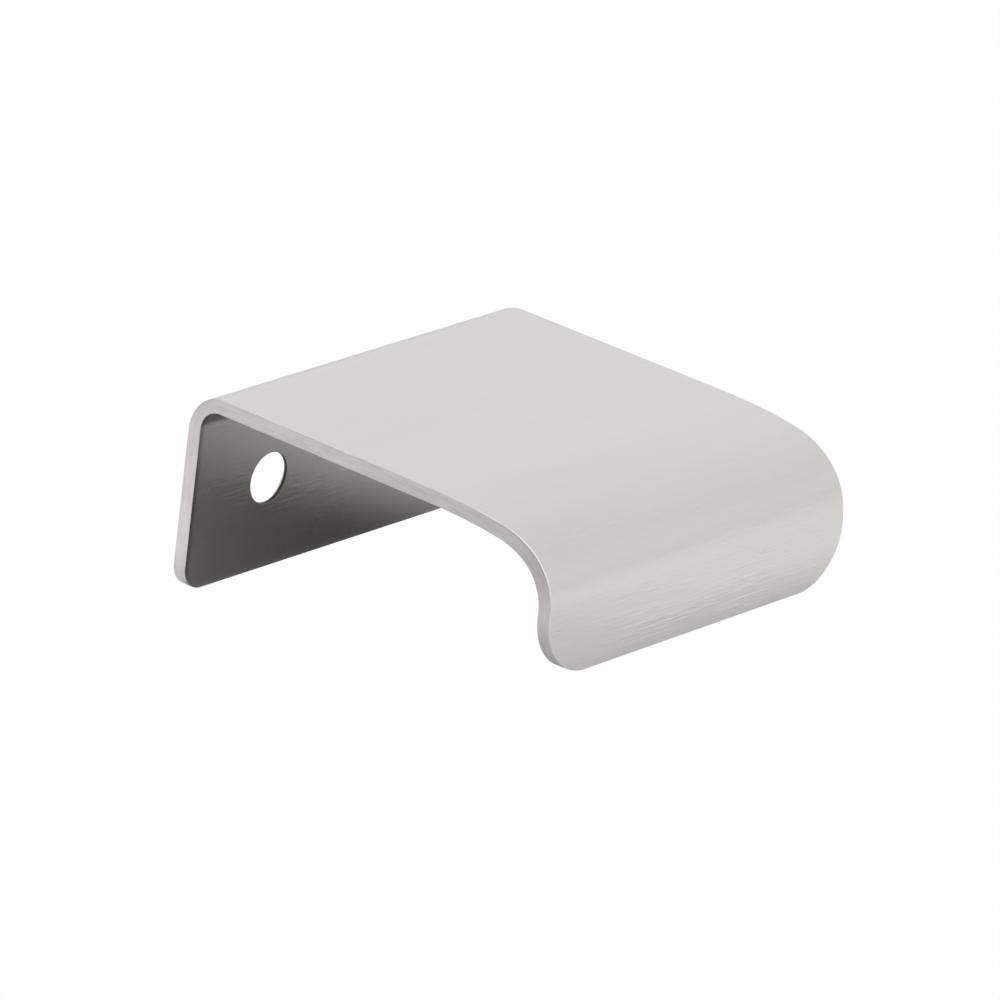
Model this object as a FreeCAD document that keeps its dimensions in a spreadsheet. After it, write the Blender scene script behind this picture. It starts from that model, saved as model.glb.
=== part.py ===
import FreeCAD, Part
import Sketcher
import math
import os

from FreeCAD import Vector

# Tab pull: one blank of satin stainless sheet, folded twice.
#   - a short rear flange hangs square from the top plate and carries two countersunk screw holes
#   - the top plate runs forward over the edge of a drawer or door front
#   - the front of the plate rolls down into a lip that the fingers pull
# Frame: X along the width, -Y forward to the lip, +Z up.
# Origin: middle of the two screw holes, on the flange face that bears on the panel.

doc = FreeCAD.newDocument("tab_pull")

# ---------------------------------------------------------------- driving dimensions (mm, degrees)
dims = doc.addObject("Spreadsheet::Sheet", "dims")
table = [
    ("width", 44.0),             # end to end of the plate
    ("sheet_thick", 1.5),        # sheet gauge
    ("flat_depth", 30.4),        # rear face of the flange to the start of the front roll
    ("flange_height", 20.6),     # top face to the flange's lower edge
    ("hole_drop", 11.2),         # top face to the screw holes' centre line
    ("bend_outer", 4.1),         # rear bend, outside radius
    ("bend_inner", 2.2),         # rear bend, inside radius (the sheet thins a little in the bend)
    ("roll_rad_one", 60.0),      # front roll, outside radii, from the plate to the lip
    ("roll_rad_two", 10.0),
    ("roll_rad_three", 6.7),
    ("roll_ang_one", 8.0),       # front roll, angle turned by each stretch
    ("roll_ang_two", 22.0),
    ("roll_ang_three", 58.0),
    ("lip_length", 6.7),         # straight part of the lip below the roll
    ("flange_corner", 2.6),      # corner radius at the flange's lower edge
    ("lip_corner", 6.0),         # corner radius at the lip's lower edge
    ("hole_dia", 5.2),           # screw clearance hole
    ("hole_pitch", 22.0),        # screw hole to screw hole, half the width
    ("sink_dia", 8.0),           # countersink mouth on the flange's rear face
    ("sink_angle", 100.0),       # countersink included angle
    ("edge_break", 0.18),        # radius left on the sheared edges by the satin finishing
]
val = {}
for row, (alias, number) in enumerate(table, start=1):
    dims.set("A%d" % row, alias)
    dims.set("B%d" % row, str(number))
    dims.setAlias("B%d" % row, alias)
    val[alias] = float(number)
doc.recompute()


def origin_plane(body, role):
    return [f for f in body.Origin.OriginFeatures if f.Role == role][0]


def failed(objects):
    return [o.Name for o in objects if "Invalid" in o.State or "Error" in o.State]


# ---------------------------------------------------------------- body
body = doc.addObject("PartDesign::Body", "pull_plate")
body.Label = "pull_plate"
body.Placement = FreeCAD.Placement(Vector(0, 0, 0), FreeCAD.Rotation())

# ---------------------------------------------------------------- section of the folded sheet, in the YZ plane
thick = val["sheet_thick"]
top = val["hole_drop"]
low = top - val["flange_height"]
rb, ri = val["bend_outer"], val["bend_inner"]
radii = [val["roll_rad_one"], val["roll_rad_two"], val["roll_rad_three"]]
turns = [math.radians(val[k]) for k in ("roll_ang_one", "roll_ang_two", "roll_ang_three")]


def normal(a):
    """Outward normal of the sheet once the roll has turned by a."""
    return Vector(-math.sin(a), math.cos(a), 0)


def along(a):
    """Direction of travel from the plate to the lip once the roll has turned by a."""
    return Vector(-math.cos(a), -math.sin(a), 0)


def arc(centre, radius, a0, a1):
    return Part.ArcOfCircle(Part.Circle(centre, Vector(0, 0, 1), radius), a0, a1)


# outside of the sheet, from the flange's lower edge to the lip's lower edge
geo = []
geo.append(Part.LineSegment(Vector(thick, low, 0), Vector(thick, top - rb, 0)))                                   # 0 flange, rear face
geo.append(arc(Vector(thick - rb, top - rb, 0), rb, 0.0, math.pi / 2))                                           # 1 rear bend
roll_start = Vector(thick - val["flat_depth"], top, 0)
geo.append(Part.LineSegment(Vector(thick - rb, top, 0), roll_start))                                             # 2 top face
at, turned, centres = roll_start, 0.0, []
for radius, turn in zip(radii, turns):                                                                           # 3, 4, 5 front roll
    centre = at - normal(turned) * radius
    centres.append((centre, turned, turned + turn))
    geo.append(arc(centre, radius, math.pi / 2 + turned, math.pi / 2 + turned + turn))
    turned += turn
    at = centre + normal(turned) * radius
lip_end = at + along(turned) * val["lip_length"]
geo.append(Part.LineSegment(at, lip_end))                                                                        # 6 lip, front face
# inside of the sheet, back to the flange
lip_end_in = lip_end - normal(turned) * thick
at_in = at - normal(turned) * thick
geo.append(Part.LineSegment(lip_end, lip_end_in))                                                                # 7 lip, lower edge
geo.append(Part.LineSegment(lip_end_in, at_in))                                                                  # 8 lip, back face
for (centre, a0, a1), radius in zip(reversed(centres), reversed(radii)):                                         # 9, 10, 11 roll, inside
    geo.append(arc(centre, radius - thick, math.pi / 2 + a0, math.pi / 2 + a1))
geo.append(Part.LineSegment(Vector(roll_start.x, top - thick, 0), Vector(-ri, top - thick, 0)))                  # 12 underside of the plate
geo.append(arc(Vector(-ri, top - thick - ri, 0), ri, 0.0, math.pi / 2))                                          # 13 rear bend, inside
geo.append(Part.LineSegment(Vector(0, top - thick - ri, 0), Vector(0, low, 0)))                                  # 14 flange, bearing face
geo.append(Part.LineSegment(Vector(0, low, 0), Vector(thick, low, 0)))                                           # 15 flange, lower edge

section = body.newObject("Sketcher::SketchObject", "section")
section.AttachmentSupport = [(origin_plane(body, "YZ_Plane"), "")]
section.MapMode = "FlatFace"
section.addGeometry(geo, False)

C = Sketcher.Constraint
START, END, MID = 1, 2, 3
rules = [
    C("Vertical", 0), C("Horizontal", 2), C("Horizontal", 12), C("Vertical", 14), C("Horizontal", 15),
    C("Tangent", 0, END, 1, START), C("Tangent", 1, END, 2, START),
    C("Tangent", 2, END, 3, START), C("Tangent", 3, END, 4, START), C("Tangent", 4, END, 5, START), C("Tangent", 5, END, 6, START),
    C("Coincident", 6, END, 7, START), C("Perpendicular", 6, 7),
    C("Coincident", 7, END, 8, START),
    C("Coincident", 9, MID, 5, MID), C("Coincident", 10, MID, 4, MID), C("Coincident", 11, MID, 3, MID),
    C("Tangent", 8, END, 9, END), C("Tangent", 9, START, 10, END), C("Tangent", 10, START, 11, END), C("Tangent", 11, START, 12, START),
    C("Tangent", 12, END, 13, END), C("Tangent", 13, START, 14, START),
    C("Coincident", 14, END, 15, START), C("Coincident", 15, END, 0, START),
    C("PointOnObject", 14, START, -2),
]
section.addConstraint(rules)
sized = [
    ("thickness", C("DistanceX", 15, START, 15, END, thick), "dims.sheet_thick"),
    ("lip_thickness", C("Distance", 7, thick), "dims.sheet_thick"),
    ("bend_out", C("Radius", 1, rb), "dims.bend_outer"),
    ("bend_in", C("Radius", 13, ri), "dims.bend_inner"),
    ("roll_one", C("Radius", 3, radii[0]), "dims.roll_rad_one"),
    ("roll_two", C("Radius", 4, radii[1]), "dims.roll_rad_two"),
    ("roll_three", C("Radius", 5, radii[2]), "dims.roll_rad_three"),
    ("turn_one", C("Angle", 3, turns[0]), "dims.roll_ang_one * 1 deg"),
    ("turn_two", C("Angle", 4, turns[1]), "dims.roll_ang_two * 1 deg"),
    ("turn_three", C("Angle", 5, turns[2]), "dims.roll_ang_three * 1 deg"),
    ("lip", C("Distance", 6, val["lip_length"]), "dims.lip_length"),
    ("flat", C("DistanceX", 2, END, 0, START, val["flat_depth"]), "dims.flat_depth"),
    ("height", C("DistanceY", 0, START, 2, START, val["flange_height"]), "dims.flange_height"),
    ("drop", C("DistanceY", -1, 1, 2, START, top), "dims.hole_drop"),
]
for name, rule, formula in sized:
    section.renameConstraint(section.addConstraint(rule), name)
    section.setExpression("Constraints." + name, formula)
doc.recompute()
if section.solve() != 0 or section.ConflictingConstraints or section.RedundantConstraints:
    raise SystemExit("section sketch: conflicting %s redundant %s" % (section.ConflictingConstraints, section.RedundantConstraints))

blank = body.newObject("PartDesign::Pad", "folded_sheet")
blank.Profile = section
blank.SideType = "Symmetric"
blank.setExpression("Length", "dims.width")
doc.recompute()


# ---------------------------------------------------------------- rounded corners of the flange and of the lip
def short_corner_edges(shape, is_flange):
    """The edges through the sheet's thickness at the two lower corners of the flange or of the lip."""
    found = []
    for i, e in enumerate(shape.Edges, start=1):
        m = e.CenterOfMass
        if e.Curve.TypeId == "Part::GeomLine" and abs(e.Length - thick) < 1e-3 and abs(abs(m.x) - val["width"] / 2) < 1e-3:
            if is_flange == (m.y > 0):
                found.append("Edge%d" % i)
    return found


flange_round = body.newObject("PartDesign::Fillet", "flange_corners")
flange_round.Base = (blank, short_corner_edges(blank.Shape, True))
flange_round.setExpression("Radius", "dims.flange_corner")
doc.recompute()
lip_round = body.newObject("PartDesign::Fillet", "lip_corners")
lip_round.Base = (flange_round, short_corner_edges(flange_round.Shape, False))
lip_round.setExpression("Radius", "dims.lip_corner")
doc.recompute()


# ---------------------------------------------------------------- broken edges all round the blank
def is_sharp(shape, e):
    """True where two faces meet at an angle, not where one runs smoothly into the next."""
    a, b = shape.ancestorsOfType(e, Part.Face)[:2]
    p = e.valueAt((e.FirstParameter + e.LastParameter) / 2)
    na, nb = (f.normalAt(*f.Surface.parameter(p)) for f in (a, b))
    return na.getAngle(nb) > math.radians(30)


edges = ["Edge%d" % i for i, e in enumerate(lip_round.Shape.Edges, start=1) if is_sharp(lip_round.Shape, e)]
broken = body.newObject("PartDesign::Fillet", "broken_edges")
broken.Base = (lip_round, edges)
broken.setExpression("Radius", "dims.edge_break")
doc.recompute()

# ---------------------------------------------------------------- screw holes, drilled from the rear face of the flange
spots = body.newObject("Sketcher::SketchObject", "screw_spots")
spots.AttachmentSupport = [(origin_plane(body, "XZ_Plane"), "")]
spots.MapMode = "FlatFace"
spots.setExpression("AttachmentOffset.Base.z", "-dims.sheet_thick")
pitch = val["hole_pitch"]
spots.addGeometry([Part.Circle(Vector(s * pitch / 2, 0, 0), Vector(0, 0, 1), val["hole_dia"] / 2) for s in (-1, 1)], False)
spots.addConstraint([
    C("PointOnObject", 0, MID, -1),
    C("Symmetric", 0, MID, 1, MID, -1, 1), C("Equal", 0, 1),
])
for name, rule, formula in (
    ("pitch", C("DistanceX", 0, MID, 1, MID, pitch), "dims.hole_pitch"),
    ("spot", C("Diameter", 0, val["hole_dia"]), "dims.hole_dia"),
):
    spots.renameConstraint(spots.addConstraint(rule), name)
    spots.setExpression("Constraints." + name, formula)
doc.recompute()

before = body.Shape.Volume
holes = body.newObject("PartDesign::Hole", "screw_holes")
holes.Profile = spots
holes.DepthType = "Dimension"
holes.DrillPoint = "Flat"
holes.ThreadType = "None"
holes.Threaded = False
holes.HoleCutType = "Countersink"
holes.HoleCutCustomValues = True
holes.Reversed = True
holes.setExpression("Depth", "dims.sheet_thick * 2")  # clear of the flange, well short of the lip
holes.setExpression("Diameter", "dims.hole_dia")
holes.setExpression("HoleCutDiameter", "dims.sink_dia")
holes.setExpression("HoleCutCountersinkAngle", "dims.sink_angle")
doc.recompute()
body.Tip = holes
doc.recompute()

# ---------------------------------------------------------------- tests before anything is written
bad = failed(doc.Objects)
if bad:
    raise SystemExit("failed features: %s" % bad)
shape = body.Shape
if shape.isNull() or not shape.isValid() or len(shape.Solids) != 1:
    raise SystemExit("pull_plate is not one valid solid")

r_hole, r_sink = val["hole_dia"] / 2, val["sink_dia"] / 2
sink_deep = (r_sink - r_hole) / math.tan(math.radians(val["sink_angle"] / 2))
cut = 2 * math.pi * (r_hole ** 2 * (thick - sink_deep) + sink_deep * (r_hole ** 2 + r_hole * r_sink + r_sink ** 2) / 3)
if abs((before - shape.Volume) - cut) > 0.02 * cut:
    raise SystemExit("the screw holes cut %.3f mm3, %.3f expected" % (before - shape.Volume, cut))

box = shape.optimalBoundingBox(False, False)
print("size X %.3f Y %.3f Z %.3f mm" % (box.XLength, box.YLength, box.ZLength))
print("Y %.3f to %.3f, Z %.3f to %.3f" % (box.YMin, box.YMax, box.ZMin, box.ZMax))
print("lip drop %.3f mm, land in the holes %.3f mm, volume %.2f mm3" % (top - lip_end.y, thick - sink_deep, shape.Volume))

os.makedirs("parts", exist_ok=True)
shape.exportStep(os.path.join("parts", body.Label + ".step"))
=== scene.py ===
import math

import bpy
import numpy as np
from mathutils import Matrix, Vector
from mathutils.geometry import delaunay_2d_cdt


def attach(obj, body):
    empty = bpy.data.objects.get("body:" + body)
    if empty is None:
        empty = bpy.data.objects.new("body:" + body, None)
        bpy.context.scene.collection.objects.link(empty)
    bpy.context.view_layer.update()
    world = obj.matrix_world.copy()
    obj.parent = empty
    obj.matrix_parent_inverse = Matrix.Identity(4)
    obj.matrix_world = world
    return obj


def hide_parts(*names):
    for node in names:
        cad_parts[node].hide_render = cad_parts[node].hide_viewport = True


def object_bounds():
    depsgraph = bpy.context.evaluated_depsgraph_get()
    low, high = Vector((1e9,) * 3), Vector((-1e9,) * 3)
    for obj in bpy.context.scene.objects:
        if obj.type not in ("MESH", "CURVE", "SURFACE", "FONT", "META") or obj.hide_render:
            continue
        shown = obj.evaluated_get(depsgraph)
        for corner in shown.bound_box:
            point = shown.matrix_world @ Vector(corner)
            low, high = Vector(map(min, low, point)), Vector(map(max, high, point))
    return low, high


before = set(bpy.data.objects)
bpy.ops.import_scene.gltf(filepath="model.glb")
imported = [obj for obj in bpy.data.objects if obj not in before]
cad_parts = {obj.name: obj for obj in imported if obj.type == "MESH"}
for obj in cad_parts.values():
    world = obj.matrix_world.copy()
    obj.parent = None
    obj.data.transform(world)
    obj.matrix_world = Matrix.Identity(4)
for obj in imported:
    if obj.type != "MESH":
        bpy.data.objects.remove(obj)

cad_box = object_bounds()
scene = bpy.context.scene
MM = 0.001

# =====================================================================================================
# The folded sheet, in millimetres, in the CAD frame
#   u runs along the outside of the sheet from the flange's lower edge to the lip's lower edge
#   x runs along the width, w goes into the sheet from its outside (0) to its inside (T)
# =====================================================================================================
W, T = 44.0, 1.5
TOP, LOW = 11.2, -9.4
FLAT_DEPTH = 30.4
BEND_OUT, BEND_IN = 4.1, 2.2
ROLL = ((60.0, 8.0), (10.0, 22.0), (6.7, 58.0))
LIP = 6.7
RC_FLANGE, RC_LIP = 2.6, 6.0
EDGE, EDGE_IN = 0.18, 0.08            # rounds on the outer edges, and on the sharper inner edges
HOLE_R, SINK_R, SINK_ANGLE = 2.6, 4.0, 100.0
HOLE_X = (-11.0, 11.0)
HOLE_U = -LOW                       # the holes' centre line is at z = 0

U_FLANGE = TOP - BEND_OUT - LOW     # where the rear bend starts, outside
U_EVEN = 14.2                       # up to here the flange's two faces share their heights
U_BEND = U_FLANGE + BEND_OUT * math.pi / 2
U_FLAT = U_BEND + FLAT_DEPTH - BEND_OUT
U_ROLL = [U_FLAT]
for radius, turn in ROLL:
    U_ROLL.append(U_ROLL[-1] + radius * math.radians(turn))
U_LIP = U_ROLL[-1]
U_END = U_LIP + LIP


def roll_frames():
    at, turned, found = np.array([T - FLAT_DEPTH, TOP]), 0.0, []
    for radius, turn in ROLL:
        centre = at - radius * np.array([-math.sin(turned), math.cos(turned)])
        found.append((centre, radius, turned))
        turned += math.radians(turn)
        at = centre + radius * np.array([-math.sin(turned), math.cos(turned)])
    return found, at, turned


ROLLS, LIP_AT, LIP_TURN = roll_frames()


def station(u):
    """(point outside, point inside, outward normal, direction of u) of the sheet's section at u, as (y, z)."""
    if u <= U_FLANGE:
        z = LOW + u
        top_in = TOP - T - BEND_IN
        zi = z if u <= U_EVEN else LOW + U_EVEN + (u - U_EVEN) / (U_FLANGE - U_EVEN) * (top_in - LOW - U_EVEN)
        return np.array([T, z]), np.array([0.0, zi]), np.array([1.0, 0.0]), np.array([0.0, 1.0])
    if u <= U_BEND:
        a = (u - U_FLANGE) / BEND_OUT
        n = np.array([math.cos(a), math.sin(a)])
        po = np.array([T - BEND_OUT, TOP - BEND_OUT]) + BEND_OUT * n
        pi = np.array([-BEND_IN, TOP - T - BEND_IN]) + BEND_IN * n
        return po, pi, n, np.array([-n[1], n[0]])
    if u <= U_FLAT:
        f = (u - U_BEND) / (U_FLAT - U_BEND)
        yo = (T - BEND_OUT) + f * (BEND_OUT - FLAT_DEPTH)
        yi = -BEND_IN + f * (T - FLAT_DEPTH + BEND_IN)
        return np.array([yo, TOP]), np.array([yi, TOP - T]), np.array([0.0, 1.0]), np.array([-1.0, 0.0])
    for (centre, radius, turned), start, end in zip(ROLLS, U_ROLL, U_ROLL[1:]):
        if u <= end:
            a = turned + (u - start) / radius
            n = np.array([-math.sin(a), math.cos(a)])
            return centre + radius * n, centre + (radius - T) * n, n, np.array([-n[1], n[0]])
    n = np.array([-math.sin(LIP_TURN), math.cos(LIP_TURN)])
    d = np.array([-n[1], n[0]])
    p = LIP_AT + (u - U_LIP) * d
    return p, p - T * n, n, d


def place(u, x, w):
    po, pi, _, _ = station(min(max(u, 0.0), U_END))
    y, z = po + (w / T) * (pi - po)
    return x, y, z


def ease(a, b, v):
    f = min(max((v - a) / (b - a), 0.0), 1.0)
    return f * f * (3.0 - 2.0 * f)


LEAN = 2.8                          # the filed ends are crowned: there they face further out than they draw back


def draw_back(u):
    """How far the ends' outer edge draws back from their inner edge, where bending has stretched the outside of the sheet."""
    rear = 0.06 * ease(U_FLANGE - 1.2, U_FLANGE + 2.4, u) * ease(U_BEND + 1.2, U_BEND - 2.4, u)
    front = 0.12 * ease(U_ROLL[1] - 2.0, U_ROLL[2] + 1.0, u) * ease(U_LIP + 1.2, U_LIP - 1.6, u)
    return rear + front


def round_share(u, nx):
    """How much of its full round the edge has: most on the front roll, least along the lower edges, which stay sharp."""
    roll = ease(U_FLAT, U_ROLL[2], u) * ease(U_LIP + 3.0, U_LIP - 1.0, u)
    return (0.35 + 0.65 * abs(nx)) * (0.6 + 0.4 * roll)


def edge_rub_and_highlight(u):
    """How much brighter the ends' edges are painted, partly as rubbed wear and partly as painted highlight: most along
    the rear of the top and on the roll, less between them.
    """
    rubbed_and_highlit = ease(U_BEND - 5.5, U_BEND - 0.5, u) * ease(U_LIP + 1.0, U_LIP - 2.5, u)
    return 0.4 + 0.6 * rubbed_and_highlit + 0.15 * ease(U_BEND - 4.0, U_BEND, u) * ease(38.0, 33.0, u) - 0.5 * ease(36.0, 42.0, u) * ease(51.0, 47.0, u)


def spread(a, b, n):
    return [a + (b - a) * k / n for k in range(n + 1)]


# stations along the sheet, close together where it bends
STATIONS = spread(U_EVEN, U_FLANGE, 3)[:-1] + spread(U_FLANGE, U_BEND, 20)[:-1] + spread(U_BEND, U_FLAT, 26)[:-1]
for (radius, turn), start, end, n in zip(ROLL, U_ROLL, U_ROLL[1:], (10, 10, 26)):
    STATIONS += spread(start, end, n)[:-1]
STATIONS.append(U_LIP)
COLUMNS = spread(-(W / 2 - EDGE), W / 2 - EDGE, 44)


# ----------------------------------------------------------------------------------------------- mesh store
class Builder:
    def __init__(self):
        self.co, self.no, self.rim, self.bore, self.worn = [], [], [], [], []
        self.faces, self.grain, self.bake = [], [], []

    def vert(self, p, n, rim=0.0, bore=0.0, worn=0.0):
        self.co.append(p)
        self.no.append(n)
        self.rim.append(rim)
        self.bore.append(bore)
        self.worn.append(worn)
        return len(self.co) - 1

    def face(self, ids, grain, bake):
        """A face with its grain and bake coordinates, wound so that it faces along its vertices' normals."""
        p = [np.array(self.co[i]) for i in ids]
        n = np.cross(p[1] - p[0], p[2] - p[0])
        if len(ids) == 4:
            n = n + np.cross(p[2] - p[0], p[3] - p[0])
        if float(n @ sum(np.array(self.no[i]) for i in ids)) < 0:
            ids, grain, bake = ids[::-1], grain[::-1], bake[::-1]
        self.faces.append(tuple(ids))
        self.grain.append(list(grain))
        self.bake.append(list(bake))


B = Builder()

# bake map: the two broad faces stand one above the other, the edges and hole walls lie in strips over them
MAP = 112.0
FACE_AT = {"out": (1.5, 1.5), "in": (1.5, 48.5)}


def bake_face(side, u, x):
    ox, oy = FACE_AT[side]
    return (ox + u) / MAP, (oy + x + W / 2) / MAP


# ----------------------------------------------------------------------------------------------- outline of the blank
def outline():
    """Points round the blank as (u, x, outward u, outward x), starting at the middle of the flange's lower edge and turning towards +x."""
    pts = []
    flange_x = [x for x in COLUMNS if abs(x) <= W / 2 - RC_FLANGE - 0.2]
    lip_x = [x for x in COLUMNS if abs(x) <= W / 2 - RC_LIP - 0.2]
    pts += [(0.0, x, -1.0, 0.0) for x in flange_x if x >= -1e-9]
    for a in spread(0.0, math.pi / 2, 14):
        pts.append((RC_FLANGE - RC_FLANGE * math.cos(a), W / 2 - RC_FLANGE + RC_FLANGE * math.sin(a), -math.cos(a), math.sin(a)))
    side = [u for u in spread(RC_FLANGE, U_EVEN, 12)[1:-1]] + STATIONS + [U_LIP + 0.35]
    pts += [(u, W / 2, 0.0, 1.0) for u in side]
    for a in spread(0.0, math.pi / 2, 24):
        pts.append((U_END - RC_LIP + RC_LIP * math.sin(a), W / 2 - RC_LIP + RC_LIP * math.cos(a), math.sin(a), math.cos(a)))
    pts += [(U_END, x, 1.0, 0.0) for x in reversed(lip_x)]
    for a in spread(0.0, math.pi / 2, 24):
        pts.append((U_END - RC_LIP + RC_LIP * math.cos(a), -(W / 2 - RC_LIP + RC_LIP * math.sin(a)), math.cos(a), -math.sin(a)))
    pts += [(u, -W / 2, 0.0, -1.0) for u in reversed(side)]
    for a in spread(0.0, math.pi / 2, 14):
        pts.append((RC_FLANGE - RC_FLANGE * math.sin(a), -(W / 2 - RC_FLANGE + RC_FLANGE * math.cos(a)), -math.sin(a), -math.cos(a)))
    pts += [(0.0, x, -1.0, 0.0) for x in flange_x if x < -1e-9]
    return pts


OUT = outline()
N = len(OUT)
run = [0.0]
for a, b in zip(OUT, OUT[1:] + OUT[:1]):
    run.append(run[-1] + math.hypot(b[0] - a[0], b[1] - a[1]))
PERIMETER = run[-1]

# rings over the edge, from the outer face round the rim to the inner face: (inset, depth, share of the face normal, share of the rim normal, side)
RINGS = []
STEPS = 7
for k in range(STEPS + 1):
    a = math.pi / 2 * k / STEPS
    RINGS.append((EDGE * (1 - math.sin(a)), EDGE * (1 - math.cos(a)), math.cos(a), math.sin(a), 1))
for w in spread(EDGE, T - EDGE_IN, 6)[1:-1]:
    RINGS.append((0.0, w, 0.0, 1.0, 1))
for k in range(STEPS, -1, -1):
    a = math.pi / 2 * k / STEPS
    RINGS.append((EDGE_IN * (1 - math.sin(a)), T - EDGE_IN * (1 - math.cos(a)), math.cos(a), math.sin(a), -1))

rim_ids = []
for inset, deep_w, face_share, rim_share, side in RINGS:
    row = []
    for u, x, nu, nx in OUT:
        share = round_share(u, nx)
        uu, xx = u - inset * share * nu, x - inset * share * nx
        w = deep_w * share if side > 0 and deep_w < EDGE + 1e-9 else T - (T - deep_w) * share if side < 0 else deep_w
        _, _, n, d = station(min(max(uu, 0.0), U_END))
        back = draw_back(uu) * nx
        tilt = rim_share * abs(back) / T * LEAN
        normal = np.array([rim_share * nx, rim_share * nu * d[0] + (side * face_share + tilt) * n[0], rim_share * nu * d[1] + (side * face_share + tilt) * n[1]])
        # worn: how much brighter the edge's round is painted, partly rubbed wear and partly painted highlight
        row.append(B.vert(place(uu, xx - back * (1.0 - w / T), w), normal / np.linalg.norm(normal), rim_share, worn=4.0 * rim_share * (1.0 - rim_share) * abs(nx) ** 3 * edge_rub_and_highlight(uu)))
    rim_ids.append(row)

# the rim's girth at each ring, for its grain and bake coordinates
girth = [0.0]
for (i0, w0, *_), (i1, w1, *_) in zip(RINGS, RINGS[1:]):
    girth.append(girth[-1] + math.hypot(i1 - i0, w1 - w0))
STRIP_LONG = 70.0


def bake_rim(p, g, strip):
    return (1.5 + p - strip * STRIP_LONG) / MAP, (95.5 + 2.9 * strip + g) / MAP


for j in range(N):
    k = (j + 1) % N
    p0, p1 = run[j], run[j + 1]
    strip = int(p0 // STRIP_LONG)
    for r in range(len(RINGS) - 1):
        g0, g1 = girth[r], girth[r + 1]
        B.face(
            [rim_ids[r][j], rim_ids[r][k], rim_ids[r + 1][k], rim_ids[r + 1][j]],
            [(p0, 300 + g0), (p1, 300 + g0), (p1, 300 + g1), (p0, 300 + g1)],
            [bake_rim(p0, g0, strip), bake_rim(p1, g0, strip), bake_rim(p1, g1, strip), bake_rim(p0, g1, strip)],
        )

# ----------------------------------------------------------------------------------------------- screw holes
HOLE_STEPS = 72
LAND = T - (SINK_R - HOLE_R) / math.tan(math.radians(SINK_ANGLE / 2))
half = math.radians(SINK_ANGLE / 2)
MOUTH, LIPR = 0.10, 0.05                            # small breaks at the countersink's mouth and at the hole's front rim


def hole_profile():
    """(radius, depth w, normal towards the axis, normal along -w) from the rear face, down the countersink, to the front face."""
    rows = []
    r0 = SINK_R + MOUTH * math.tan((math.pi / 2 - half) / 2)
    for k in range(5):
        a = (math.pi / 2 - half) * k / 4
        rows.append((r0 - MOUTH * math.sin(a), MOUTH * (1 - math.cos(a)), math.sin(a), math.cos(a)))
    r_land, w_land = HOLE_R, T - LAND
    for f in (0.2, 0.4, 0.6, 0.8, 0.97):
        r1, w1 = rows[4][0], rows[4][1]
        rows.append((r1 + f * (r_land - r1), w1 + f * (w_land - w1), math.cos(half), math.sin(half)))
    rows.append((r_land, w_land + 0.02, 1.0, 0.0))
    rows.append((r_land, T - LIPR, 1.0, 0.0))
    for k in range(1, 5):
        a = math.pi / 2 * k / 4
        rows.append((r_land + LIPR * (1 - math.cos(a)), T - LIPR * (1 - math.sin(a)), math.cos(a), -math.sin(a)))
    return rows


HOLE = hole_profile()
# how dark and dull the wall is at each row: bright at the mouth, darker down the countersink, and darkest on the
# punched land; the darkness is painted shade, the dullness a rougher finish
HOLE_SHADE_AND_DULL = [0.0] * 4 + [0.12, 0.16, 0.22, 0.30, 0.42, 0.70] + [1.0, 1.0, 1.0, 0.8, 0.4, 0.0]
deep = [0.0]
for a, b in zip(HOLE, HOLE[1:]):
    deep.append(deep[-1] + math.hypot(b[0] - a[0], b[1] - a[1]))
hole_loops = {"out": [], "in": []}
for h, hx in enumerate(HOLE_X):
    rows = []
    for (r, w, to_axis, out_w), shade_and_dull in zip(HOLE, HOLE_SHADE_AND_DULL):
        row = []
        for k in range(HOLE_STEPS):
            a = 2 * math.pi * k / HOLE_STEPS
            cu, cx = math.cos(a), math.sin(a)
            # on the flange, u is +Z and the outward normal is +Y
            normal = np.array([-to_axis * cx, out_w, -to_axis * cu])
            row.append(B.vert(place(HOLE_U + r * cu, hx + r * cx, w), normal / np.linalg.norm(normal), bore=shade_and_dull))
        rows.append(row)
    ring_r = 3.3
    for k in range(HOLE_STEPS):
        m = (k + 1) % HOLE_STEPS
        p0, p1 = k * 2 * math.pi * ring_r / HOLE_STEPS, (k + 1) * 2 * math.pi * ring_r / HOLE_STEPS
        for q in range(len(HOLE) - 1):
            d0, d1 = deep[q], deep[q + 1]
            bake = [((77.5 + p) / MAP, (3.0 + 4.0 * h + d) / MAP) for p, d in ((p0, d0), (p1, d0), (p1, d1), (p0, d1))]
            B.face(
                [rows[q][k], rows[q][m], rows[q + 1][m], rows[q + 1][k]],
                [(p0, 400 + 10 * h + d0), (p1, 400 + 10 * h + d0), (p1, 400 + 10 * h + d1), (p0, 400 + 10 * h + d1)],
                bake,
            )
    hole_loops["out"].append((rows[0], HOLE[0][0], hx))
    hole_loops["in"].append((rows[-1], HOLE[-1][0], hx))


# ----------------------------------------------------------------------------------------------- the two broad faces
def grid_row(side, u, ends):
    """Vertices across the sheet at u: the two ends belong to the rim, the rest are new."""
    w = 0.0 if side == "out" else T
    _, _, n, _ = station(u)
    s = 1.0 if side == "out" else -1.0
    return [ends[0]] + [B.vert(place(u, x, w), np.array([0.0, s * n[0], s * n[1]]), 0.0) for x in COLUMNS[1:-1]] + [ends[1]]


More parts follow.
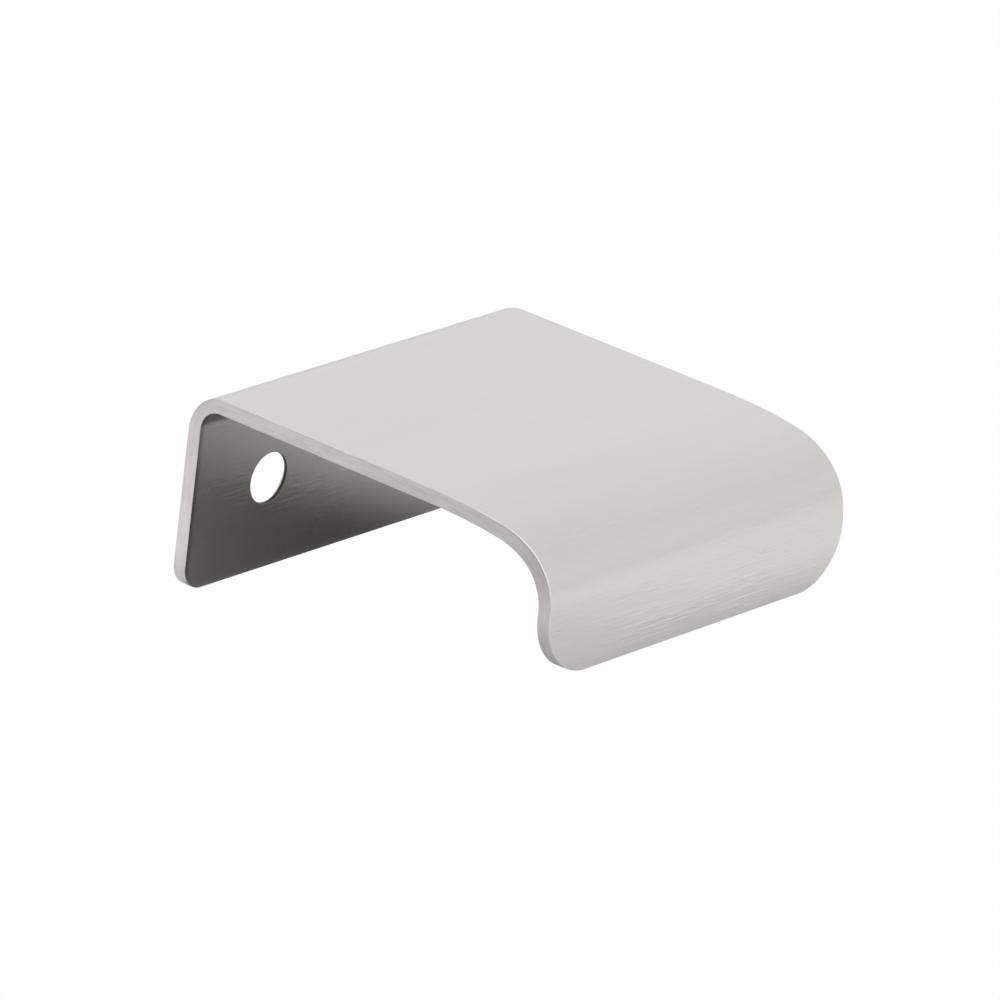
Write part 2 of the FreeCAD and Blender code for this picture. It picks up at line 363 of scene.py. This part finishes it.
def fill_flat(side, loop, holes, extra):
    """Triangles over a flat part of the face, between its boundary loop and its holes. loop, holes and extra hold (u, x, vertex)."""
    pts, ids, edges = [], [], []
    for ring in [loop] + holes:
        start = len(pts)
        for u, x, i in ring:
            pts.append(Vector((u, x)))
            ids.append(i)
        edges += [(start + k, start + (k + 1) % len(ring)) for k in range(len(ring))]
    for u, x, i in extra:
        pts.append(Vector((u, x)))
        ids.append(i)
    _, _, faces, orig, _, _ = delaunay_2d_cdt(pts, edges, [], 1, 1e-7)
    back = [o[0] for o in orig]
    for f in faces:
        tri = [back[i] for i in f]
        cu = sum(pts[i].x for i in tri) / 3
        cx = sum(pts[i].y for i in tri) / 3
        if any(math.hypot(cu - HOLE_U, cx - hx) < r * 0.999 for _, r, hx in hole_loops[side]) and holes:
            continue
        shift = 0.0 if side == "out" else 120.0
        B.face(
            [ids[i] for i in tri],
            [(pts[i].y, shift + pts[i].x) for i in tri],
            [bake_face(side, pts[i].x, pts[i].y) for i in tri],
        )


for side, ring in (("out", 0), ("in", len(RINGS) - 1)):
    inset, w = RINGS[ring][0], RINGS[ring][1]
    columns = [inset - W / 2] + COLUMNS[1:-1] + [W / 2 - inset]
    ids = rim_ids[ring]
    s = 1.0 if side == "out" else -1.0
    shift = 0.0 if side == "out" else 120.0
    flat = [(u - inset * round_share(u, nx) * nu, x - inset * round_share(u, nx) * nx, i) for (u, x, nu, nx), i in zip(OUT, ids)]
    right = {round(u, 6): i for (u, x, nu, nx), i in zip(OUT, ids) if nx == 1.0}
    left = {round(u, 6): i for (u, x, nu, nx), i in zip(OUT, ids) if nx == -1.0}
    rows = [grid_row(side, u, (left[round(u, 6)], right[round(u, 6)])) for u in STATIONS]
    for a, b, ua, ub in zip(rows, rows[1:], STATIONS, STATIONS[1:]):
        for k in range(len(columns) - 1):
            xa, xb = columns[k], columns[k + 1]
            B.face(
                [a[k], a[k + 1], b[k + 1], b[k]],
                [(xa, shift + ua), (xb, shift + ua), (xb, shift + ub), (xa, shift + ub)],
                [bake_face(side, ua, xa), bake_face(side, ua, xb), bake_face(side, ub, xb), bake_face(side, ub, xa)],
            )
    # the flange below the grid, with its holes
    first = next(k for k, p in enumerate(flat) if p[0] > U_EVEN - 1e-6)
    last = max(k for k, p in enumerate(flat) if p[0] > U_EVEN - 1e-6)
    edge_row = [(U_EVEN, x, i) for x, i in zip(columns, rows[0])]
    loop = flat[:first] + list(reversed(edge_row)) + flat[last + 1:]
    holes = [[(HOLE_U + r * math.cos(2 * math.pi * k / HOLE_STEPS), hx + r * math.sin(2 * math.pi * k / HOLE_STEPS), i) for k, i in enumerate(loop_ids)] for loop_ids, r, hx in hole_loops[side]]
    extra = []
    for hx in HOLE_X:
        r0 = HOLE[0][0] if side == "out" else HOLE[-1][0]
        for rr in (r0 + 0.25, r0 + 0.7):
            for k in range(HOLE_STEPS // 2):
                a = 2 * math.pi * (k + 0.5) / (HOLE_STEPS // 2)
                extra.append((HOLE_U + rr * math.cos(a), hx + rr * math.sin(a)))
    for u in spread(RC_FLANGE * 0.5, U_EVEN, 12)[:-1]:
        for x in COLUMNS[2:-2:2]:
            if all(math.hypot(u - HOLE_U, x - hx) > SINK_R + 1.6 for hx in HOLE_X) and (u > RC_FLANGE or abs(x) < W / 2 - RC_FLANGE):
                extra.append((u, x))
    n_flange = np.array([0.0, s, 0.0])
    fill_flat(side, loop, holes, [(u, x, B.vert(place(u, x, w), n_flange, 0.0)) for u, x in extra])
    # the lip above its rounded corners
    inner = [k for k, p in enumerate(flat) if p[0] > U_LIP + 1e-6]
    edge_row = [(U_LIP, x, i) for x, i in zip(columns, rows[-1])]
    loop = edge_row + [flat[k] for k in inner]
    _, _, n, _ = station(U_END)
    extra = [(u, x) for u in spread(U_LIP, U_END, 7)[1:-1] for x in COLUMNS[2:-2:2]
             if u < U_END - RC_LIP + 0.1 or abs(x) < W / 2 - RC_LIP or math.hypot(u - (U_END - RC_LIP), abs(x) - (W / 2 - RC_LIP)) < RC_LIP - 0.5]
    fill_flat(side, loop, [], [(u, x, B.vert(place(u, x, w), np.array([0.0, s * n[0], s * n[1]]), 0.0)) for u, x in extra])

mesh = bpy.data.meshes.new("pull_plate_sheet")
# the sharper lower edges would reach a few micrometres past the CAD's rounded ones, so the points are kept inside its box
mesh.from_pydata([tuple(min(max(c * MM, a), b) for c, a, b in zip(p, *cad_box)) for p in B.co], [], B.faces)
for name, data in (("OFBake", B.bake), ("grain", B.grain)):
    layer = mesh.uv_layers.new(name=name)
    flat = np.array([uv for face in data for uv in face], np.float32)
    layer.data.foreach_set("uv", flat.ravel())
mesh.uv_layers["OFBake"].active = True
mesh.uv_layers["OFBake"].active_render = True
# the worn attribute carries the edges' painted highlight together with their rubbed wear
for name, data in (("rim", B.rim), ("bore", B.bore), ("worn", B.worn)):
    layer = mesh.attributes.new(name, "FLOAT", "POINT")
    layer.data.foreach_set("value", np.array(data, np.float32))
mesh.polygons.foreach_set("use_smooth", np.ones(len(mesh.polygons), bool))
mesh.update()
mesh.normals_split_custom_set_from_vertices([tuple(n) for n in B.no])

plate = bpy.data.objects.new("pull_plate_sheet", mesh)
scene.collection.objects.link(plate)
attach(plate, "root")
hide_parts("pull_plate")


# =====================================================================================================
# Satin stainless steel, brushed along the grain map's u
# =====================================================================================================
def satin_steel():
    m = bpy.data.materials.new("satin_steel")
    m.use_nodes = True
    nt = m.node_tree
    nt.nodes.clear()
    N = nt.nodes.new

    def link(a, b):
        nt.links.new(a, b)

    def calc(op, a, b=None, c=None, clamp=False):
        n = N("ShaderNodeMath")
        n.operation = op
        n.use_clamp = clamp
        for k, v in enumerate((a, b, c)):
            if v is None:
                continue
            if isinstance(v, (int, float)):
                n.inputs[k].default_value = v
            else:
                link(v, n.inputs[k])
        return n.outputs["Value"]

    def blend(fac, a, b):
        n = N("ShaderNodeMix")
        n.data_type = "RGBA"
        link(fac, n.inputs["Factor"])
        for v, s in ((a, n.inputs[6]), (b, n.inputs[7])):
            if isinstance(v, tuple):
                s.default_value = v
            else:
                link(v, s)
        return n.outputs[2]

    out = N("ShaderNodeOutputMaterial")
    bsdf = N("ShaderNodeBsdfPrincipled")
    bsdf.inputs["Metallic"].default_value = 1.0
    bsdf.inputs["Anisotropic"].default_value = 0.6
    link(bsdf.outputs["BSDF"], out.inputs["Surface"])
    uv = N("ShaderNodeUVMap")
    uv.uv_map = "grain"
    tangent = N("ShaderNodeTangent")
    tangent.direction_type = "UV_MAP"
    tangent.uv_map = "grain"
    link(tangent.outputs["Tangent"], bsdf.inputs["Tangent"])
    rim = N("ShaderNodeAttribute")
    rim.attribute_name = "rim"
    bore = N("ShaderNodeAttribute")
    bore.attribute_name = "bore"
    edge_rub_and_highlight_mask = N("ShaderNodeAttribute")
    edge_rub_and_highlight_mask.attribute_name = "worn"

    def streaks(along, across, detail, rough, seed):
        """Noise drawn out along the grain: lengths in millimetres."""
        mp = N("ShaderNodeMapping")
        mp.inputs["Scale"].default_value = (1.0 / along, 1.0 / across, 1.0)
        mp.inputs["Location"].default_value = (seed, seed * 1.7, 0.0)
        link(uv.outputs["UV"], mp.inputs["Vector"])
        t = N("ShaderNodeTexNoise")
        t.noise_dimensions = "2D"
        t.inputs["Scale"].default_value = 1.0
        t.inputs["Detail"].default_value = detail
        t.inputs["Roughness"].default_value = rough
        link(mp.outputs["Vector"], t.inputs["Vector"])
        return t.outputs["Fac"]

    fine = streaks(4.5, 0.11, 2.0, 0.6, 3.1)
    hair = streaks(9.0, 0.40, 2.0, 0.55, 17.3)
    broad = streaks(30.0, 4.0, 1.5, 0.5, 41.9)

    across = N("ShaderNodeSeparateXYZ")
    link(uv.outputs["UV"], across.inputs["Vector"])

    def step(low, high, a, b, value=None):
        """From a to b as the grain map's v, or the value, goes from low to high."""
        n = N("ShaderNodeMapRange")
        n.interpolation_type = "SMOOTHSTEP"
        n.inputs["From Min"].default_value, n.inputs["From Max"].default_value = low, high
        n.inputs["To Min"].default_value, n.inputs["To Max"].default_value = a, b
        link(across.outputs["Y"] if value is None else value, n.inputs["Value"])
        return n.outputs["Result"]

    # colour: a warm grey steel with slight streak to streak change, edges painted brighter as burnished wear and as
    # painted highlight, and hole walls painted dark as painted shade
    mix = calc("MULTIPLY_ADD", fine, 0.4, calc("MULTIPLY_ADD", hair, 0.35, calc("MULTIPLY", broad, 0.25)))
    ramp = N("ShaderNodeValToRGB")
    ramp.color_ramp.elements[0].position = 0.30
    ramp.color_ramp.elements[0].color = (0.654, 0.639, 0.622, 1.0)
    ramp.color_ramp.elements[1].position = 0.70
    ramp.color_ramp.elements[1].color = (0.692, 0.677, 0.660, 1.0)
    link(mix, ramp.inputs["Fac"])
    cut = N("ShaderNodeMix")
    cut.data_type = "RGBA"
    cut.blend_type = "MULTIPLY"
    link(rim.outputs["Fac"], cut.inputs["Factor"])
    link(ramp.outputs["Color"], cut.inputs[6])
    cut.inputs[7].default_value = (1.0, 0.993, 1.004, 1.0)
    filed = N("ShaderNodeMix")                         # uneven filing marks
    filed.data_type = "RGBA"
    filed.blend_type = "MULTIPLY"
    link(rim.outputs["Fac"], filed.inputs["Factor"])
    link(cut.outputs[2], filed.inputs[6])
    link(calc("MULTIPLY_ADD", streaks(3.2, 0.55, 3.0, 0.6, 55.1), 0.34, 0.83), filed.inputs[7])
    # the ends' edges are painted brighter, partly as rubbed wear and partly as painted highlight, more in some places
    # than in others
    uneven = step(0.36, 0.62, 0.55, 1.0, streaks(5.0, 3.0, 2.0, 0.6, 83.3))
    col = blend(calc("MULTIPLY", edge_rub_and_highlight_mask.outputs["Fac"], uneven), filed.outputs[2], (0.86, 0.846, 0.832, 1.0))
    # inside, the colour is darkened in a narrow band along the side edges
    inside = calc("MULTIPLY", step(100.0, 110.0, 0.0, 1.0), step(250.0, 260.0, 1.0, 0.0))
    margin = N("ShaderNodeMix")
    margin.data_type = "RGBA"
    margin.blend_type = "MULTIPLY"
    link(calc("MULTIPLY", inside, step(21.1, 21.95, 0.0, 1.0, calc("ABSOLUTE", across.outputs["X"]))), margin.inputs["Factor"])
    link(col, margin.inputs[6])
    margin.inputs[7].default_value = (0.54, 0.54, 0.54, 1.0)
    col = margin.outputs[2]
    # painted shade: the hole walls are painted near black, deepest on the land
    col = blend(bore.outputs["Fac"], col, (0.065, 0.063, 0.060, 1.0))
    link(col, bsdf.inputs["Base Color"])

    # roughness: brushed faces, coarser cut edges, dull hole walls
    rough = calc("MULTIPLY_ADD", hair, 0.06, calc("MULTIPLY_ADD", fine, 0.06, 0.26))
    rough = calc("MULTIPLY_ADD", rim.outputs["Fac"], -0.02, rough)
    rough = calc("MULTIPLY_ADD", bore.outputs["Fac"], 0.14, rough)
    link(rough, bsdf.inputs["Roughness"])

    # brush lines, deeper in some patches than in others
    worn = step(0.40, 0.66, 0.25, 1.0, streaks(13.0, 5.0, 2.0, 0.6, 7.7))
    lines = calc("MULTIPLY_ADD", fine, 0.15, streaks(4.2, 0.34, 2.5, 0.60, 29.3))
    # the lip is brushed hardest, the top lightly, the inside least, and the cut edges are filed
    depth = calc("MULTIPLY", step(64.5, 71.0, 0.26, 1.0), calc("ADD", step(100.0, 110.0, 1.0, 0.20), step(250.0, 260.0, 0.0, 0.45)))
    height = calc("MULTIPLY", calc("MULTIPLY", lines, worn), depth)
    bump = N("ShaderNodeBump")
    bump.inputs["Strength"].default_value = 1.0
    bump.inputs["Distance"].default_value = 0.10 * MM
    link(height, bump.inputs["Height"])
    link(bump.outputs["Normal"], bsdf.inputs["Normal"])
    return m


plate.data.materials.append(satin_steel())

# =====================================================================================================
# Stage
# =====================================================================================================
# white sweep: a floor that curves up into a wall and a ceiling, seen by the camera only
turns, profile = 72, [(0.3, 0.0), (1.3, 0.0)]
profile += [(1.3 + 0.8 * math.sin(a), 0.8 - 0.8 * math.cos(a)) for a in spread(0.0, math.pi / 2, 10)[1:]]
profile += [(2.1 * math.cos(a), 0.8 + 1.2 * math.sin(a)) for a in spread(0.0, math.pi / 2, 12)[1:-1]]
me = bpy.data.meshes.new("floor")
points = [(r * math.cos(2 * math.pi * k / turns), r * math.sin(2 * math.pi * k / turns), z + (LOW - 0.02) * MM) for r, z in profile for k in range(turns)]
quads = [(i * turns + k, i * turns + (k + 1) % turns, (i + 1) * turns + (k + 1) % turns, (i + 1) * turns + k) for i in range(len(profile) - 1) for k in range(turns)]
quads += [tuple(reversed(range(turns))), tuple(range((len(profile) - 1) * turns, len(profile) * turns))]
me.from_pydata(points, [], quads)
floor = bpy.data.objects.new("floor", me)
scene.collection.objects.link(floor)
white = bpy.data.materials.new("white_floor")
white.use_nodes = True
nt = white.node_tree
nt.nodes.clear()
o = nt.nodes.new("ShaderNodeOutputMaterial")
e = nt.nodes.new("ShaderNodeEmission")
e.inputs["Color"].default_value = (0.991, 0.991, 0.991, 1.0)
nt.links.new(e.outputs["Emission"], o.inputs["Surface"])
white.cycles.emission_sampling = "NONE"
floor.data.materials.append(white)
floor.visible_diffuse = floor.visible_glossy = floor.visible_transmission = floor.visible_volume_scatter = floor.visible_shadow = False

# the table that the pull lies on, for its light and shade: it touches the flange's lower edge and the lip's, so it leans in this frame
lip_low = place(U_END, 0.0, 0.0)
lean = math.atan2(lip_low[2] - LOW, -lip_low[1])
studio = Matrix.Translation((0.0, 0.0, (LOW - 0.03) * MM)) @ Matrix.Rotation(-lean, 4, "X")
me = bpy.data.meshes.new("table")
me.from_pydata([(-2.0, -2.0, 0.0), (2.0, -2.0, 0.0), (2.0, 2.0, 0.0), (-2.0, 2.0, 0.0)], [], [(0, 1, 2, 3)])
table = bpy.data.objects.new("table", me)
scene.collection.objects.link(table)
table.matrix_world = studio
paper = bpy.data.materials.new("white_table")
paper.use_nodes = True
nt = paper.node_tree
sheet = nt.nodes["Principled BSDF"]
sheet.inputs["Roughness"].default_value = 0.9
sheet.inputs["Specular IOR Level"].default_value = 0.1
coord = nt.nodes.new("ShaderNodeTexCoord")
axes = nt.nodes.new("ShaderNodeSeparateXYZ")
nt.links.new(coord.outputs["Object"], axes.inputs["Vector"])
slant = nt.nodes.new("ShaderNodeMath")
slant.operation = "MULTIPLY_ADD"
slant.inputs[1].default_value = -0.75
nt.links.new(axes.outputs["Y"], slant.inputs[0])
nt.links.new(axes.outputs["X"], slant.inputs[2])
AXES = {"x": axes.outputs["X"], "y": axes.outputs["Y"], "slant": slant.outputs["Value"]}


def soft_patch(bands):
    """A patch of the table, soft at its edges, from (axis, where it starts, where it is full) in millimetres."""
    patch = None
    for axis, start, full in bands:
        band = nt.nodes.new("ShaderNodeMapRange")
        band.interpolation_type = "SMOOTHSTEP"
        band.inputs["From Min"].default_value = start * MM
        band.inputs["From Max"].default_value = full * MM
        nt.links.new(AXES[axis], band.inputs["Value"])
        if patch is None:
            patch = band.outputs["Result"]
        else:
            times = nt.nodes.new("ShaderNodeMath")
            times.operation = "MULTIPLY"
            nt.links.new(patch, times.inputs[0])
            nt.links.new(band.outputs["Result"], times.inputs[1])
            patch = times.outputs["Value"]
    return patch


# painted shade: the table is darkened under the pull; and the table glows as painted light: a little all over, and more
# in front of the lip, behind the flange's end and under the plate
PAPER, UNDER_PULL_SHADE, SHADE = (0.92, 0.92, 0.915, 1.0), (0.308, 0.302, 0.279, 1.0), (0.77, 0.75, 0.76, 1.0)
GLOW, FRONT_GLOW, LIP_GLOW, BACK_GLOW, PLATE_GLOW = 0.03, 0.105, 0.055, 0.19, 0.09
under_pull_shade = soft_patch((("x", -24.0, -20.0), ("slant", 24.0, 4.0), ("y", 2.0, -1.0), ("y", -42.0, -26.0)))
tone = nt.nodes.new("ShaderNodeMix")
tone.data_type = "RGBA"
nt.links.new(under_pull_shade, tone.inputs["Factor"])
tone.inputs[6].default_value = PAPER
tone.inputs[7].default_value = UNDER_PULL_SHADE
shade = nt.nodes.new("ShaderNodeMix")               # the table is a little greyer on the left
shade.data_type = "RGBA"
shade.blend_type = "MULTIPLY"
nt.links.new(soft_patch((("x", -44.0, -58.0), ("y", 36.0, 18.0))), shade.inputs["Factor"])
nt.links.new(tone.outputs[2], shade.inputs[6])
shade.inputs[7].default_value = SHADE
nt.links.new(shade.outputs[2], sheet.inputs["Base Color"])
front = nt.nodes.new("ShaderNodeMath")
front.operation = "MULTIPLY_ADD"
front.inputs[1].default_value, front.inputs[2].default_value = FRONT_GLOW, GLOW
nt.links.new(soft_patch((("x", -21.0, 9.0), ("y", -45.0, -52.0))), front.inputs[0])
near = nt.nodes.new("ShaderNodeMath")
near.operation = "MULTIPLY_ADD"
near.inputs[1].default_value = LIP_GLOW
nt.links.new(soft_patch((("x", -21.0, 9.0), ("y", -45.0, -52.0), ("y", -100.0, -50.0))), near.inputs[0])
nt.links.new(front.outputs["Value"], near.inputs[2])
behind = nt.nodes.new("ShaderNodeMath")
behind.operation = "MULTIPLY_ADD"
behind.inputs[1].default_value = BACK_GLOW
nt.links.new(soft_patch((("x", -24.0, -32.0), ("x", -64.0, -46.0), ("y", 1.0, 9.0), ("y", 44.0, 30.0))), behind.inputs[0])
nt.links.new(near.outputs["Value"], behind.inputs[2])
under = nt.nodes.new("ShaderNodeMath")
under.operation = "MULTIPLY_ADD"
under.inputs[1].default_value = PLATE_GLOW
nt.links.new(soft_patch((("x", 4.0, 11.0), ("x", 24.0, 17.0), ("y", -8.0, -12.5), ("y", -21.0, -15.5))), under.inputs[0])
nt.links.new(behind.outputs["Value"], under.inputs[2])
open_part = nt.nodes.new("ShaderNodeMath")
open_part.operation = "SUBTRACT"
open_part.inputs[0].default_value = 1.0
nt.links.new(under_pull_shade, open_part.inputs[1])
below = nt.nodes.new("ShaderNodeMath")
below.operation = "MULTIPLY"
nt.links.new(under.outputs["Value"], below.inputs[0])
nt.links.new(open_part.outputs["Value"], below.inputs[1])
sheet.inputs["Emission Color"].default_value = (1.0, 1.0, 1.0, 1.0)
nt.links.new(below.outputs["Value"], sheet.inputs["Emission Strength"])
table.data.materials.append(paper)
table.visible_camera = False

# soft light from all round: an even fill, and broad soft sources at (name, azimuth from +Y towards +X, height angle, sharpness, radiance), about the table
FILL = 0.175
SOURCES = (
    ("top", 0.0, 90.0, 6.0, 0.80),
    ("front_high", 165.0, 50.0, 8.0, 0.35),
    ("front_low", 150.0, 9.5, 10.0, 0.75),
    ("front_low2", 190.0, 12.0, 10.0, 0.50),
    ("right_low", 95.0, 15.0, 10.0, 1.22),
    ("back_right", 50.0, 22.0, 6.0, 0.72),
    ("back_right2", 40.0, 15.0, 15.0, 0.12),
    ("back_left_high", 322.0, 52.0, 8.0, 0.48),
    ("front_left_high", 234.0, 42.0, 14.0, 1.05),
    ("front_left_low", 225.0, 10.0, 10.0, 0.9),
    ("back_left_low", 312.0, 14.0, 20.0, 0.75),
)
world = bpy.data.worlds.new("studio")
scene.world = world
world.use_nodes = True
world.cycles.sampling_method = "MANUAL"
world.cycles.sample_map_resolution = 256
nt = world.node_tree
bg = nt.nodes["Background"]
bg.inputs["Color"].default_value = (1.0, 1.0, 1.0, 1.0)
coord = nt.nodes.new("ShaderNodeTexCoord")
total = None
for name, az, el, sharp, radiance in SOURCES:
    a, b = math.radians(az), math.radians(el)
    d = studio.to_3x3() @ Vector((math.sin(a) * math.cos(b), math.cos(a) * math.cos(b), math.sin(b)))
    dot = nt.nodes.new("ShaderNodeVectorMath")
    dot.operation = "DOT_PRODUCT"
    dot.inputs[1].default_value = d
    nt.links.new(coord.outputs["Generated"], dot.inputs[0])
    fall = nt.nodes.new("ShaderNodeMath")
    fall.operation = "MULTIPLY_ADD"
    fall.inputs[1].default_value, fall.inputs[2].default_value = sharp, -sharp
    nt.links.new(dot.outputs["Value"], fall.inputs[0])
    glow = nt.nodes.new("ShaderNodeMath")
    glow.operation = "EXPONENT"
    nt.links.new(fall.outputs["Value"], glow.inputs[0])
    add = nt.nodes.new("ShaderNodeMath")
    add.name = "add_" + name
    add.operation = "MULTIPLY_ADD"
    add.inputs[1].default_value = radiance
    nt.links.new(glow.outputs["Value"], add.inputs[0])
    if total is None:
        add.inputs[2].default_value = FILL
        first = add
    else:
        nt.links.new(total, add.inputs[2])
    total = add.outputs["Value"]
nt.links.new(total, bg.inputs["Strength"])

# =====================================================================================================
# Camera at the photo's viewing angle
# =====================================================================================================
cam_data = bpy.data.cameras.new("camera")
cam = bpy.data.objects.new("camera", cam_data)
scene.collection.objects.link(cam)
right = Vector((0.643180190601818, -0.757334829207934, 0.1129743284379156))
up = Vector((0.21206251960379413, 0.31794741491800366, 0.924088160905792))
ahead = Vector((0.7357640451915948, 0.57039757872518, -0.3650998109938605))
spot = Vector((-678.3646846838124, -545.5632851628231, 338.54604823528393)) * MM
cam.matrix_world = Matrix((
    (right.x, up.x, -ahead.x, spot.x),
    (right.y, up.y, -ahead.y, spot.y),
    (right.z, up.z, -ahead.z, spot.z),
    (0, 0, 0, 1),
))
cam_data.sensor_width = 36.0
cam_data.lens = 347.3995463262822
cam_data.clip_start, cam_data.clip_end = 0.05, 20.0
scene.camera = cam
scene.view_settings.view_transform = "Standard"
